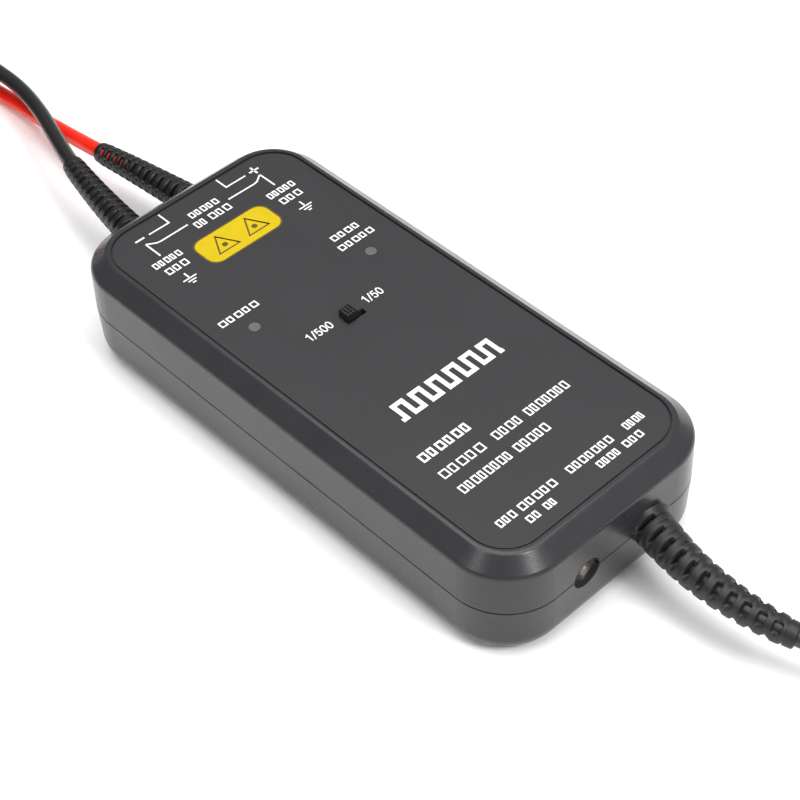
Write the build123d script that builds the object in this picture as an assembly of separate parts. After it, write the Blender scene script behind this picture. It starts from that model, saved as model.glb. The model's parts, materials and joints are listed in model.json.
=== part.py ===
"""A two-lead isolating probe for an oscilloscope: a flat box with two input leads and one output cable.

Millimetres. +X runs along the box from the input leads to the output cable, +Z is up, and the origin is
the middle of the underside of the box. Each function makes the pieces of one group; main() writes one file
for each piece.
"""

import math
import os

from build123d import *

# --- driving dimensions: the box ---
CASE_LENGTH = 120.0
CASE_WIDTH = 55.0
CASE_HEIGHT = 24.0
CORNER_RADIUS = 12.1
PARTING_HEIGHT = 12.1
PARTING_GAP = 0.3
WALL = 2.0
LOWER_DRAFT_INSET = 0.46
LOWER_EDGE_RADIUS = 4.5
CREASE_HEIGHT = 21.05
CREASE_INSET = 0.15
BEVEL_INSET = 3.5
EDGE_SOFTENING = 1.2
TONGUE_HEIGHT = 1.15
TONGUE_THICKNESS = 0.9
CLEARANCE = 0.1

# --- the printed front panel, let into the top ---
PANEL_LENGTH = 110.1
PANEL_WIDTH = 45.8
PANEL_CORNER = 7.4
PANEL_THICKNESS = 0.3
RECESS_DEPTH = 0.5
RECESS_GROOVE = 0.4

# --- things along the box ---
INPUT_OFFSET = 8.0
OUTPUT_Y = 8.3
JACK_Y = -7.8
PORT_HEIGHT = 12.1
LIGHT_X = -17.1
LIGHT_Y = {-1: -15.3, 1: 14.3}
LIGHT_RADIUS = 1.2
SLIDER_X = -6.6
SLIDER_REST_Y = -1.25
SLIDER_TRAVEL = 2.0

# --- circuit board ---
BOARD_BOTTOM = 4.0
BOARD_THICKNESS = 1.6
BOARD_TOP = BOARD_BOTTOM + BOARD_THICKNESS
BOARD_LENGTH = 108.0
BOARD_WIDTH = 47.0
BOSS_X = 46.0
BOSS_Y = 18.5
BOSS_RADIUS = 3.4
POST_X = 31.0
POST_Y = 20.0

# --- cables ---
LEAD_DIAMETER = 3.4
COAX_DIAMETER = 3.4
LEAD_COIL_CENTRE = (-155.0, -9.3)
LEAD_COIL_OUTER_TURN = 16.3
LEAD_COIL_STEP = 3.4
LEAD_TURNS_EACH_WAY = 2.0
COAX_COIL_CENTRE = (147.0, 0.0)
COAX_COIL_OUTER_TURN = 24.6
COAX_COIL_STEP = 3.4
COAX_TURNS_EACH_WAY = 3.5

# --- plugs ---
TEST_PLUG_START = -175.0
TEST_PLUG_HEIGHT = 5.5
TEST_PLUG_Y = {"positive": 7.8, "negative": 20.0}
BNC_START = 178.0
BNC_Y = 20.0
BNC_HEIGHT = 7.5


def rounded_plate(inset, corner, z):
    """A rounded rectangle as far inside the outline of the box as the inset says."""
    return Pos(0, 0, z) * RectangleRounded(CASE_LENGTH - 2 * inset, CASE_WIDTH - 2 * inset, corner)


def between(*sections):
    """The straight-sided solid through the given (inset, z) sections of the box's outline."""
    return loft([rounded_plate(inset, CORNER_RADIUS - inset, z) for inset, z in sections], ruled=True)


def turned(radius, start, end, y=0.0, z=0.0):
    """A cylinder along X between two stations."""
    length = abs(end - start)
    return Pos((start + end) / 2, y, z) * Rot(0, 90, 0) * Cylinder(radius, length)


def upright(radius, bottom, top, x=0.0, y=0.0):
    return Pos(x, y, (bottom + top) / 2) * Cylinder(radius, top - bottom)


def block(x, y, z):
    """A box between pairs of stations along each axis."""
    size = Box(x[1] - x[0], y[1] - y[0], z[1] - z[0])
    return Pos((x[0] + x[1]) / 2, (y[0] + y[1]) / 2, (z[0] + z[1]) / 2) * size


def corners(x, y):
    return [(sx * x, sy * y) for sx in (-1, 1) for sy in (-1, 1)]


# ---------------------------------------------------------------- box shells

INPUT_NECK = 2.6
OUTPUT_NECK = 3.2
JACK_HOLE = 3.15


def end_openings():
    """The round ways through both end walls, half in each shell."""
    reach = CASE_LENGTH / 2 + 2
    inside = CASE_LENGTH / 2 - 6
    cut = turned(JACK_HOLE, inside, reach, JACK_Y, PORT_HEIGHT)
    cut += turned(OUTPUT_NECK, inside, reach, OUTPUT_Y, PORT_HEIGHT)
    for side in (-1, 1):
        cut += turned(INPUT_NECK, -reach, -inside, side * INPUT_OFFSET, PORT_HEIGHT)
    return cut


def lower_shell():
    top = PARTING_HEIGHT - PARTING_GAP / 2
    outer = between((LOWER_DRAFT_INSET, 0), (0, top))
    outer = fillet(outer.edges().group_by(Axis.Z)[0], LOWER_EDGE_RADIUS)
    tongue_top = top + TONGUE_HEIGHT
    outer += between((WALL - TONGUE_THICKNESS, top - 1), (WALL - TONGUE_THICKNESS, tongue_top))
    hollow = between((WALL + LOWER_DRAFT_INSET, WALL), (WALL, tongue_top + 1))
    hollow = fillet(hollow.edges().group_by(Axis.Z)[0], LOWER_EDGE_RADIUS - WALL)
    shell = outer - hollow
    for x, y in corners(BOSS_X, BOSS_Y):
        shell += upright(BOSS_RADIUS, 1, 11.6, x, y)
    for x, y in corners(POST_X, POST_Y):
        shell += upright(2.2, 1, BOARD_BOTTOM, x, y)
        shell -= upright(1.0, 2.2, BOARD_BOTTOM + 1, x, y)
    for x, y in corners(BOSS_X, BOSS_Y):
        shell -= upright(3.0, -1, 3.2, x, y)
        shell -= upright(1.6, 0, 13, x, y)
    return shell - end_openings()


def upper_shell():
    bottom = PARTING_HEIGHT + PARTING_GAP / 2
    outer = between((0, bottom), (CREASE_INSET, CREASE_HEIGHT), (BEVEL_INSET, CASE_HEIGHT))
    outer = fillet(outer.edges().group_by(Axis.Z)[-1], EDGE_SOFTENING)
    crease = [edge for edge in outer.edges() if abs(edge.center().Z - CREASE_HEIGHT) < 0.01]
    outer = fillet(crease, EDGE_SOFTENING)
    hollow = between(
        (WALL, bottom - 1), (WALL + CREASE_INSET, CREASE_HEIGHT - 1), (BEVEL_INSET + 1.6, CASE_HEIGHT - WALL)
    )
    shell = outer - hollow
    tongue_top = PARTING_HEIGHT - PARTING_GAP / 2 + TONGUE_HEIGHT
    rebate_inset = WALL - TONGUE_THICKNESS - CLEARANCE
    shell -= between((rebate_inset, bottom - 1), (rebate_inset, tongue_top)) - between(
        (WALL + 1, bottom - 2), (WALL + 1, tongue_top + 1)
    )
    for x, y in corners(BOSS_X, BOSS_Y):
        shell += upright(BOSS_RADIUS, 11.9, CASE_HEIGHT - WALL + 0.2, x, y)
        shell -= upright(1.45, 11, 19, x, y)
    recess_floor = CASE_HEIGHT - RECESS_DEPTH
    recess = RectangleRounded(
        PANEL_LENGTH + RECESS_GROOVE * 2, PANEL_WIDTH + RECESS_GROOVE * 2, PANEL_CORNER + RECESS_GROOVE
    )
    shell -= Pos(0, 0, recess_floor) * extrude(recess, 2)
    for side in (-1, 1):
        shell -= upright(LIGHT_RADIUS + CLEARANCE, 15, 25, LIGHT_X, LIGHT_Y[side])
    shell -= slider_slot(15, 25)
    # Two rails inside the roof guide the slider's plate.
    for side in (-1, 1):
        rail_y = SLIDER_REST_Y + SLIDER_TRAVEL / 2
        rail_x = SLIDER_X + side * 4.3
        rail_z = (CASE_HEIGHT - WALL - RAIL_DEPTH, CASE_HEIGHT - WALL + 0.2)
        shell += block((rail_x - 0.6, rail_x + 0.6), (rail_y - 7, rail_y + 7), rail_z)
    return shell - end_openings()


SLIDER_KNOB = (2.6, 2.4)
SLIDER_TOP = 25.7
SLIDER_STEM = (0.3, 1.3)
RAIL_DEPTH = 1.6


def slider_slot(bottom, top):
    """The narrow slot for the range slider's stem, as long as the stem and its travel."""
    middle_y = SLIDER_REST_Y + SLIDER_TRAVEL / 2
    half_y = (SLIDER_KNOB[1] + SLIDER_TRAVEL) / 2 + 0.15
    stem_x = (SLIDER_X + SLIDER_STEM[0] - 0.15, SLIDER_X + SLIDER_STEM[1] + 0.25)
    return block(stem_x, (middle_y - half_y, middle_y + half_y), (bottom, top))


def front_panel():
    floor = CASE_HEIGHT - RECESS_DEPTH
    outline = RectangleRounded(PANEL_LENGTH, PANEL_WIDTH, PANEL_CORNER)
    sheet = Pos(0, 0, floor) * extrude(outline, PANEL_THICKNESS)
    for side in (-1, 1):
        sheet -= upright(LIGHT_RADIUS + 0.02, floor - 1, floor + 2, LIGHT_X, LIGHT_Y[side])
    return sheet - slider_slot(floor - 1, floor + 2)


def screw(x, y, head_bottom, head_radius, head_height, shank_radius, tip, driven_up):
    """A pan-head screw along Z with a cross recess; a screw driven up has its head below its shank."""
    head_top = head_bottom + head_height
    body = upright(head_radius, head_bottom, head_top, x, y)
    outer_edge = body.edges().group_by(Axis.Z)[0 if driven_up else -1]
    body = fillet(outer_edge, head_height * 0.45)
    shank = (head_top - 0.1, tip) if driven_up else (tip, head_bottom + 0.1)
    body += upright(shank_radius, shank[0], shank[1], x, y)
    arm = head_radius * 0.62
    slot = 0.35
    recess = block((x - arm, x + arm), (y - slot, y + slot), (0, head_height * 0.6))
    recess += block((x - slot, x + slot), (y - arm, y + arm), (0, head_height * 0.6))
    outer_face = head_bottom if driven_up else head_top - head_height * 0.6
    return body - Pos(0, 0, outer_face) * recess


def case_screws():
    places = corners(BOSS_X, BOSS_Y)
    return Compound([screw(x, y, 1.5, 2.7, 1.7, 1.4, 17.5, driven_up=True) for x, y in places])


def board_screws():
    places = corners(POST_X, POST_Y)
    return Compound([screw(x, y, BOARD_TOP, 1.9, 1.2, 0.95, 2.6, driven_up=False) for x, y in places])


# ---------------------------------------------------------------- circuit board and what it carries


def circuit_board():
    outline = RectangleRounded(BOARD_LENGTH, BOARD_WIDTH, 5)
    board = Pos(0, 0, BOARD_BOTTOM) * extrude(outline, BOARD_THICKNESS)
    through = (BOARD_BOTTOM - 1, BOARD_TOP + 1)
    for x, y in corners(BOSS_X, BOSS_Y):
        # Each corner of the board is cut away round its screw boss.
        inward_x = x - math.copysign(BOSS_RADIUS + 0.5, x)
        inward_y = y - math.copysign(BOSS_RADIUS + 0.5, y)
        outward_x = x + math.copysign(8, x)
        outward_y = y + math.copysign(8, y)
        board -= upright(BOSS_RADIUS + 0.5, *through, x, y)
        board -= block(sorted((inward_x, outward_x)), sorted((y, outward_y)), through)
        board -= block(sorted((x, outward_x)), sorted((inward_y, outward_y)), through)
    for x, y in corners(POST_X, POST_Y):
        board -= upright(1.1, *through, x, y)
    return board


def wire(points, radius, bend):
    """A bare wire along straight runs with one bend radius."""
    path = FilletPolyline(*points, radius=bend)
    return sweep(Plane(origin=path @ 0, z_dir=path % 0) * Circle(radius), path=path)


def divider_resistors(side):
    """The chain of high-voltage resistors behind one input, each with its bent wires."""
    y = side * INPUT_OFFSET
    axis_z = BOARD_TOP + 2.2
    chain = []
    for number in range(3):
        x = -46.0 + number * 9.4
        body = turned(1.7, x - 3.0, x + 3.0, y, axis_z)
        body = chamfer(body.edges().filter_by(GeomType.CIRCLE), 0.4)
        for way in (-1, 1):
            bend_x = x + way * 4.2
            body += wire([(x + way * 2.8, y, axis_z), (bend_x, y, axis_z), (bend_x, y, BOARD_TOP)], 0.3, 0.7)
        chain.append(body)
    return Compound(chain)


def input_wire(side):
    """The bare core of one input lead, from the lead's inner end down to the board."""
    y = side * INPUT_OFFSET
    return wire([(-55.9, y, PORT_HEIGHT), (-51.6, y, PORT_HEIGHT), (-51.6, y, BOARD_TOP)], 0.5, 1.5)


def output_wire():
    """The bare core of the output cable, from its inner end down to the board."""
    points = [(55.6, OUTPUT_Y, PORT_HEIGHT), (49.5, OUTPUT_Y, PORT_HEIGHT), (49.5, OUTPUT_Y, BOARD_TOP)]
    return wire(points, 0.6, 2.0)


def input_screen():
    """A folded sheet-metal wall between the two inputs and along their outer sides."""
    sheet = 0.4
    top = 14.0
    left, right = -51.0, -21.0
    walls = block((left, right), (-sheet / 2, sheet / 2), (BOARD_TOP, top))
    for side in (-1, 1):
        y = side * 14.5
        walls += block((left, right), sorted((y, y + side * sheet)), (BOARD_TOP, top - 3))
    walls += block((right - sheet, right), (-14.9, 14.9), (BOARD_TOP, top - 3))
    return walls


TRIMMERS = {"gain": (4.0, -10.0), "balance": (4.0, 10.0)}
TRIMMER_ROTOR = 1.6


def trimmer_bodies():
    bodies = []
    for x, y in TRIMMERS.values():
        body = block((x - 2.5, x + 2.5), (y - 2.5, y + 2.5), (BOARD_TOP, BOARD_TOP + 3.2))
        body = chamfer(body.edges().filter_by(Axis.Z), 0.5)
        body -= upright(TRIMMER_ROTOR + 0.06, BOARD_TOP + 1.2, BOARD_TOP + 4, x, y)
        bodies.append(body)
    return Compound(bodies)


def trimmer_rotor(name):
    x, y = TRIMMERS[name]
    top = BOARD_TOP + 3.5
    rotor = upright(TRIMMER_ROTOR, BOARD_TOP + 1.25, top, x, y)
    return rotor - block((x - 1.2, x + 1.2), (y - 0.25, y + 0.25), (top - 0.8, top + 1))


def chip(x, y, length, width, height, legs):
    """A small moulded circuit with legs along both long sides."""
    standing = (BOARD_TOP + 0.15, BOARD_TOP + height)
    body = block((x - length / 2, x + length / 2), (y - width / 2, y + width / 2), standing)
    body = chamfer(body.edges().group_by(Axis.Z)[-1], 0.2)
    pitch = length / legs
    for number in range(legs):
        leg_x = x - length / 2 + pitch * (number + 0.5)
        for side in (-1, 1):
            edge = y + side * width / 2
            leg_y = sorted((edge - side * 0.2, edge + side * 1.0))
            body += block((leg_x - 0.2, leg_x + 0.2), leg_y, (BOARD_TOP, BOARD_TOP + 0.35))
    return body


def amplifier_chips():
    places = [(14.0, 0.0), (14.0, -12.0), (14.0, 12.0), (28.0, 6.0)]
    return Compound([chip(x, y, 5.0, 4.0, 1.6, 4) for x, y in places])


def small_components():
    """Rows of surface-mounted resistors and capacitors."""
    pieces = []
    rows = {
        -12.5: (-8.0, -3.0, 3.0, 8.0),
        9.0: (-16.0, -5.0, 5.0, 16.0),
        20.5: (-6.0, -1.0, 12.0, 17.0),
        34.3: (-16.0, 5.0, 17.0),
    }
    for x, row in rows.items():
        for y in row:
            pieces.append(block((x - 0.6, x + 0.6), (y - 1.0, y + 1.0), (BOARD_TOP, BOARD_TOP + 0.7)))
    return Compound(pieces)


def storage_capacitors():
    cans = []
    for x, y in ((39.0, 1.5), (39.0, 12.0), (30.0, -9.0)):
        can = upright(2.5, BOARD_TOP, BOARD_TOP + 9.5, x, y)
        can = fillet(can.edges(), 0.5)
        can -= upright(1.6, BOARD_TOP + 9.35, BOARD_TOP + 10, x, y)
        cans.append(can)
    return Compound(cans)


def power_choke():
    core = block((20.5, 26.5), (-17.5, -11.5), (BOARD_TOP, BOARD_TOP + 3.6))
    core = chamfer(core.edges().filter_by(Axis.Z), 1.2)
    return core - upright(1.2, BOARD_TOP + 3.0, BOARD_TOP + 4, 23.5, -14.5)


# ---------------------------------------------------------------- lights

LIGHT_TOP = CASE_HEIGHT - RECESS_DEPTH + PANEL_THICKNESS
LIGHT_COLLAR_BOTTOM = 16.5


def indicator_light(side):
    """A long flat-topped light: its lens, collar and two legs down to the board."""
    y = LIGHT_Y[side]
    lens = upright(LIGHT_RADIUS, LIGHT_COLLAR_BOTTOM, LIGHT_TOP, LIGHT_X, y)
    lens = fillet(lens.edges().group_by(Axis.Z)[-1], 0.15)
    lens += upright(LIGHT_RADIUS + 0.5, LIGHT_COLLAR_BOTTOM, LIGHT_COLLAR_BOTTOM + 1, LIGHT_X, y)
    for way in (-1, 1):
        leg_x = LIGHT_X + way * 0.9
        lens += block((leg_x - 0.2, leg_x + 0.2), (y - 0.2, y + 0.2), (BOARD_TOP, LIGHT_COLLAR_BOTTOM + 0.5))
    return lens


def light_spacers():
    """A tube under each light that holds it at the height of the roof."""
    tubes = []
    for side in (-1, 1):
        y = LIGHT_Y[side]
        tube = upright(2.4, BOARD_TOP, LIGHT_COLLAR_BOTTOM, LIGHT_X, y)
        tubes.append(tube - upright(1.4, BOARD_TOP - 1, LIGHT_COLLAR_BOTTOM + 1, LIGHT_X, y))
    return Compound(tubes)


# ---------------------------------------------------------------- range switch

SWITCH_HALF_X = 2.2
SWITCH_HALF_Y = 4.4
SWITCH_TOP = 10.4
SWITCH_CONTACTS = (-2.0, 0.0, 2.0)
LEVER_TOP = 14.0


def switch_frame():
    """The folded steel cover of the slide switch, open below and slotted above."""
    middle_y = SLIDER_REST_Y + SLIDER_TRAVEL / 2
    sheet = 0.3
    x = (SLIDER_X - SWITCH_HALF_X, SLIDER_X + SWITCH_HALF_X)
    y = (middle_y - SWITCH_HALF_Y, middle_y + SWITCH_HALF_Y)
    cover = block(x, y, (BOARD_TOP + 1.8, SWITCH_TOP))
    inside_x = (x[0] + sheet, x[1] - sheet)
    inside_y = (y[0] + sheet, y[1] - sheet)
    cover -= block(inside_x, inside_y, (BOARD_TOP, SWITCH_TOP - sheet))
    slot_x = (SLIDER_X - 0.9, SLIDER_X + 0.9)
    cover -= block(slot_x, (middle_y - 2.2, middle_y + 2.2), (BOARD_TOP, SWITCH_TOP + 1))
    for px, py in ((x[0], y[0]), (x[1] - sheet, y[0]), (x[0], y[1] - 1.2), (x[1] - sheet, y[1] - 1.2)):
        cover += block((px, px + sheet), (py, py + 1.2), (BOARD_TOP, BOARD_TOP + 2.0))
    return cover


def switch_base():
    middle_y = SLIDER_REST_Y + SLIDER_TRAVEL / 2
    x = (SLIDER_X - SWITCH_HALF_X + 0.35, SLIDER_X + SWITCH_HALF_X - 0.35)
    y = (middle_y - SWITCH_HALF_Y + 0.35, middle_y + SWITCH_HALF_Y - 0.35)
    base = block(x, y, (BOARD_TOP, BOARD_TOP + 1.6))
    for contact_y in SWITCH_CONTACTS:
        y = middle_y + contact_y
        slit_x = (SLIDER_X - 0.45, SLIDER_X + 0.45)
        base -= block(slit_x, (y - 0.35, y + 0.35), (BOARD_TOP - 1, BOARD_TOP + 2))
    return base


def switch_terminals():
    middle_y = SLIDER_REST_Y + SLIDER_TRAVEL / 2
    pins = []
    for contact_y in SWITCH_CONTACTS:
        y = middle_y + contact_y
        pin_x = (SLIDER_X - 0.4, SLIDER_X + 0.4)
        pins.append(block(pin_x, (y - 0.3, y + 0.3), (BOARD_TOP, BOARD_TOP + 1.8)))
    return Compound(pins)


def switch_lever():
    """The switch's own sliding lever, with its foot inside the steel cover."""
    y = SLIDER_REST_Y
    foot = block((SLIDER_X - 1.6, SLIDER_X + 1.6), (y - 1.8, y + 1.8), (BOARD_TOP + 2.6, SWITCH_TOP - 0.5))
    return foot + block((SLIDER_X - 0.8, SLIDER_X + 0.8), (y - 1.0, y + 1.0), (SWITCH_TOP - 1, LEVER_TOP))


def switch_wiper():
    """The spring strip under the lever that bridges two terminals."""
    y = SLIDER_REST_Y
    x = (SLIDER_X - 0.5, SLIDER_X + 0.5)
    strip = block(x, (y - 1.5, y + 1.5), (BOARD_TOP + 2.2, BOARD_TOP + 2.5))
    for way in (-1, 1):
        foot_y = sorted((y + way * 1.0, y + way * 1.5))
        strip += block(x, foot_y, (BOARD_TOP + 1.9, BOARD_TOP + 2.4))
    return strip


def range_slider():
    """The knob above the panel, its stem and guide plate, and the fork that drives the switch's lever."""
    y = SLIDER_REST_Y
    half_x, half_y = SLIDER_KNOB[0] / 2, SLIDER_KNOB[1] / 2
    plate_top = CASE_HEIGHT - WALL - CLEARANCE
    knob_bottom = CASE_HEIGHT - RECESS_DEPTH + PANEL_THICKNESS + CLEARANCE
    across, along = (SLIDER_X - half_x, SLIDER_X + half_x), (y - half_y, y + half_y)
    knob = block(across, along, (knob_bottom, SLIDER_TOP))
    knob = fillet(knob.edges().group_by(Axis.Z)[-1], 0.25)
    for groove in (-0.7, 0.0, 0.7):
        groove_x = (SLIDER_X - half_x - 1, SLIDER_X + half_x + 1)
        groove_y = (y + groove - 0.15, y + groove + 0.15)
        knob -= block(groove_x, groove_y, (SLIDER_TOP - 0.3, SLIDER_TOP + 1))
    stem_x = (SLIDER_X + SLIDER_STEM[0], SLIDER_X + SLIDER_STEM[1])
    stem = block(stem_x, along, (plate_top - 0.5, knob_bottom + 0.5))
    plate = block((SLIDER_X - 3.5, SLIDER_X + 3.5), (y - 4.5, y + 4.5), (plate_top - 0.9, plate_top))
    fork = block((SLIDER_X - 1.6, SLIDER_X + 1.6), (y - 2.0, y + 2.0), (LEVER_TOP - 2.4, plate_top - 0.5))
    gap = block((SLIDER_X - 2, SLIDER_X + 2), (y - 1.1, y + 1.1), (LEVER_TOP - 4, LEVER_TOP + 0.2))
    return knob + stem + plate + fork - gap


# ---------------------------------------------------------------- power socket

JACK_FRONT = CASE_LENGTH / 2 - WALL - 0.25
JACK_BACK = JACK_FRONT - 13.5
JACK_PIN_RADIUS = 1.0
JACK_PIN_TIP = JACK_FRONT - 0.6
PIN_ROOT_STEP = 0.3
SLEEVE_RADIUS = JACK_HOLE - CLEARANCE
SLEEVE_WALL = 0.25
SLEEVE_FRONT = CASE_LENGTH / 2 - 1.35
SLEEVE_BACK = JACK_FRONT - 8.5


def power_socket_housing():
    body = block((JACK_BACK, JACK_FRONT - 0.3), (JACK_Y - 4.5, JACK_Y + 4.5), (BOARD_TOP, BOARD_TOP + 7))
    body += turned(4.5, JACK_BACK, JACK_FRONT, JACK_Y, PORT_HEIGHT)
    body -= turned(SLEEVE_RADIUS, SLEEVE_BACK - 0.5, JACK_FRONT + 1, JACK_Y, PORT_HEIGHT)
    return body - turned(JACK_PIN_RADIUS - PIN_ROOT_STEP, JACK_BACK - 1, JACK_FRONT, JACK_Y, PORT_HEIGHT)


def power_socket_sleeve():
    sleeve = turned(SLEEVE_RADIUS, SLEEVE_BACK, SLEEVE_FRONT, JACK_Y, PORT_HEIGHT)
    bore = SLEEVE_RADIUS - SLEEVE_WALL
    return sleeve - turned(bore, SLEEVE_BACK - 1, SLEEVE_FRONT + 1, JACK_Y, PORT_HEIGHT)


def power_socket_pin():
    floor = SLEEVE_BACK - 0.5
    pin = turned(JACK_PIN_RADIUS, floor, JACK_PIN_TIP, JACK_Y, PORT_HEIGHT)
    pin = chamfer(pin.edges().sort_by(Axis.X)[-1], 0.35)
    return pin + turned(JACK_PIN_RADIUS - PIN_ROOT_STEP, JACK_BACK, floor, JACK_Y, PORT_HEIGHT)


# ---------------------------------------------------------------- cables


def cable(points, diameter):
    """A round cable along straight runs joined by arcs, each as large as its two runs allow."""
    points = [Vector(*point) for point in points]
    runs = [(b - a).length for a, b in zip(points, points[1:])]
    corners_on_way = zip(points, points[1:], points[2:])
    turns = [math.radians((b - a).get_angle(c - b)) for a, b, c in corners_on_way]
    shorter_runs = [min(pair) for pair in zip(runs, runs[1:])]
    radii = [0.45 * run / math.tan(turn / 2) for run, turn in zip(shorter_runs, turns)]
    path = FilletPolyline(*points, radius=radii)
    section = Plane(origin=path @ 0, z_dir=path % 0) * Circle(diameter / 2)
    solid = sweep(section, path=path)
    straight_volume = path.length * math.pi * diameter**2 / 4
    print("cable length", round(path.length, 1), "volume ratio", round(solid.volume / straight_volume, 4))
    print("  runs", [round(run, 1) for run in runs])
    print("  radii", [round(radius, 1) for radius in radii])
    return solid, path.length


def coil(centre, outer_turn, step, turns_each_way, diameter, bottom):
    """The outer shape of a flat coil of two layers."""
    outer = outer_turn + diameter / 2
    inner = outer_turn - step * turns_each_way - diameter / 2
    ring = Cylinder(outer, 2 * diameter) - Cylinder(inner, 4 * diameter)
    ring = Pos(centre[0], centre[1], bottom + diameter) * ring
    return fillet(ring.edges().filter_by(GeomType.CIRCLE), diameter * 0.4)


def coil_length(outer_turn, step, turns_each_way):
    mean_radius = outer_turn - step * turns_each_way / 2
    return 2 * turns_each_way * 2 * math.pi * mean_radius


LEAD_ROUTES = {
    "positive": [
        (-60, 8.0, 12.1), (-70, 7.0, 11.8), (-82, 6.1, 11.3), (-94.5, 5.2, 10.2), (-106, 6.2, 7.3),
        (-118, 6.8, 4.8), (-129.5, 8.0, 2.7), (-140, 7.6, 1.8), (-148, 7.1, 1.7), (-155, 7.0, 1.7),
    ],
    "negative": [
        (-60, -8.0, 12.1), (-70, -6.9, 12.0), (-82, -4.9, 11.8), (-94, -2.3, 11.5), (-105, 1.5, 10.8),
        (-115.5, 5.1, 9.9), (-126, 7.5, 9.2), (-137, 7.9, 8.7), (-147, 7.3, 8.5), (-155, 7.0, 8.5),
    ],
}
LEAD_TAILS = {
    "positive": [(-155, 7.0, 5.1), (-161.5, 7.1, 5.1), (-168, 7.4, 5.3), (-175, 7.8, 5.5)],
    "negative": [
        (-146.85, 4.8, 11.9), (-153, 8.5, 11.9), (-160, 13.4, 10.0), (-167.5, 18.0, 7.0), (-175, 20.0, 5.5),
    ],
}
COAX_ROUTE = [
    (60, 8.3, 12.1), (75, 8.3, 11.5), (91, 8.3, 10.3), (104, 9.3, 7.5), (117, 13.0, 3.8),
    (129, 18.3, 1.9), (139, 23.2, 1.7), (147, 24.6, 1.7),
]
COAX_TAIL = [(147, 24.6, 5.1), (154.5, 25.0, 5.2), (162, 24.2, 6.2), (170, 21.8, 7.2), (178, 20.0, 7.5)]


# ---------------------------------------------------------------- strain reliefs


LEAD_BOOT_REACH = 34.8
LEAD_BOOT_RADII = (3.5, 2.2)
LEAD_BOOT_COLLAR = 3.9
COAX_BOOT_REACH = 33.8
COAX_BOOT_RADII = (3.5, 2.3)
COAX_BOOT_COLLAR = 4.2
BOOT_FIRST_WINDOW = 2.0
BOOT_TIP_RING = 2.35
COLLAR_LENGTH = 1.2
FLANGE_GAP = WALL + 0.3
FLANGE_THICKNESS = 1.6
FLANGE_LIP = 1.4


def strain_relief(route, lean_point, reach, windows, radii, hole_radius, collar_radius, neck_radius):
    """A moulded bend relief: a neck and flange through the wall, a collar, and a tapered slotted body.

    The tapered body leans from the start of its cable's route towards the numbered point of it.
    """
    root_radius, tip_radius = radii
    root, tip = Vector(*route[0]), Vector(*route[lean_point])
    way = math.copysign(1, root.X)
    leaning = Plane(origin=root, x_dir=(0, -1, 1), z_dir=tip - root)

    tapered = Pos(0, 0, reach / 2) * Cone(root_radius, tip_radius, reach)
    body = leaning * tapered
    collar = turned(collar_radius, root.X, root.X + way * COLLAR_LENGTH, root.Y, root.Z)
    body += fillet(collar.edges().sort_by(Axis.X)[-1 if way > 0 else 0], 0.6)
    flange_start = root.X - way * FLANGE_GAP
    flange_end = flange_start - way * FLANGE_THICKNESS
    body -= turned(collar_radius + 2, root.X, flange_end, root.Y, root.Z)
    body += turned(neck_radius, flange_start - way * 0.5, root.X + way * 0.5, root.Y, root.Z)
    body += turned(neck_radius + FLANGE_LIP, flange_start, flange_end, root.Y, root.Z)
    body -= turned(hole_radius + 0.25, flange_end - way, root.X + way * 0.5, root.Y, root.Z)
    body -= leaning * Pos(0, 0, reach / 2) * Cylinder(hole_radius, reach + 2)

    # Windows face two ways in turn; towards the tip they get wider and shorter.
    pitch = (reach - BOOT_FIRST_WINDOW - BOOT_TIP_RING) / (windows - 1)
    for number in range(windows):
        for quarter in (0, 1) if number < windows - 1 else (0,):
            distance = BOOT_FIRST_WINDOW + (number + 0.5 * quarter) * pitch
            share = distance / reach
            radius = root_radius + (tip_radius - root_radius) * share
            slot = Box(4 * radius, (1.1 - 0.2 * share) * radius, pitch * (0.28 + 0.2 * share))
            body -= leaning * (Pos(0, 0, distance) * Rot(0, 0, 90 * quarter) * slot)
    return body


# ---------------------------------------------------------------- plugs

PLUG_TAIL = 12.0
PLUG_GRIP = 27.0
PLUG_SHROUD = 19.5
PLUG_RADIUS = 5.5
SHROUD_RADIUS = 4.1
SHROUD_HOLE = 3.3
TEST_PIN_RADIUS = 2.0


def test_plug_grip(pole):
    """The insulated body of a shrouded 4 mm plug, pointing to -X: bend relief, grip and shroud."""
    y, z = TEST_PLUG_Y[pole], TEST_PLUG_HEIGHT
    tail_end = TEST_PLUG_START - PLUG_TAIL
    grip_end = tail_end - PLUG_GRIP
    tip = grip_end - PLUG_SHROUD
    outline = Polyline(
        (TEST_PLUG_START, 0), (TEST_PLUG_START, 2.4), (tail_end, 3.6), (tail_end, 4.4),
        (tail_end - 1.5, PLUG_RADIUS), (grip_end + 5, PLUG_RADIUS), (grip_end, SHROUD_RADIUS + 0.4),
        (grip_end, SHROUD_RADIUS), (tip, SHROUD_RADIUS), (tip, 0), (TEST_PLUG_START, 0),
    )
    body = revolve(make_face(outline), Axis.X)
    for number in range(5):
        x = tail_end - 6 - number * 3.2
        groove = turned(PLUG_RADIUS + 1, x - 0.6, x + 0.6) - turned(PLUG_RADIUS - 0.5, x - 1, x + 1)
        body -= groove
    body -= turned(SHROUD_HOLE, grip_end - 0.5, tip - 1)
    body -= turned(TEST_PIN_RADIUS - PIN_ROOT_STEP, tail_end - 10, tip - 1)
    body -= turned(LEAD_DIAMETER / 2, TEST_PLUG_START + 1, TEST_PLUG_START - 6)
    return Pos(0, y, z) * body


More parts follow.
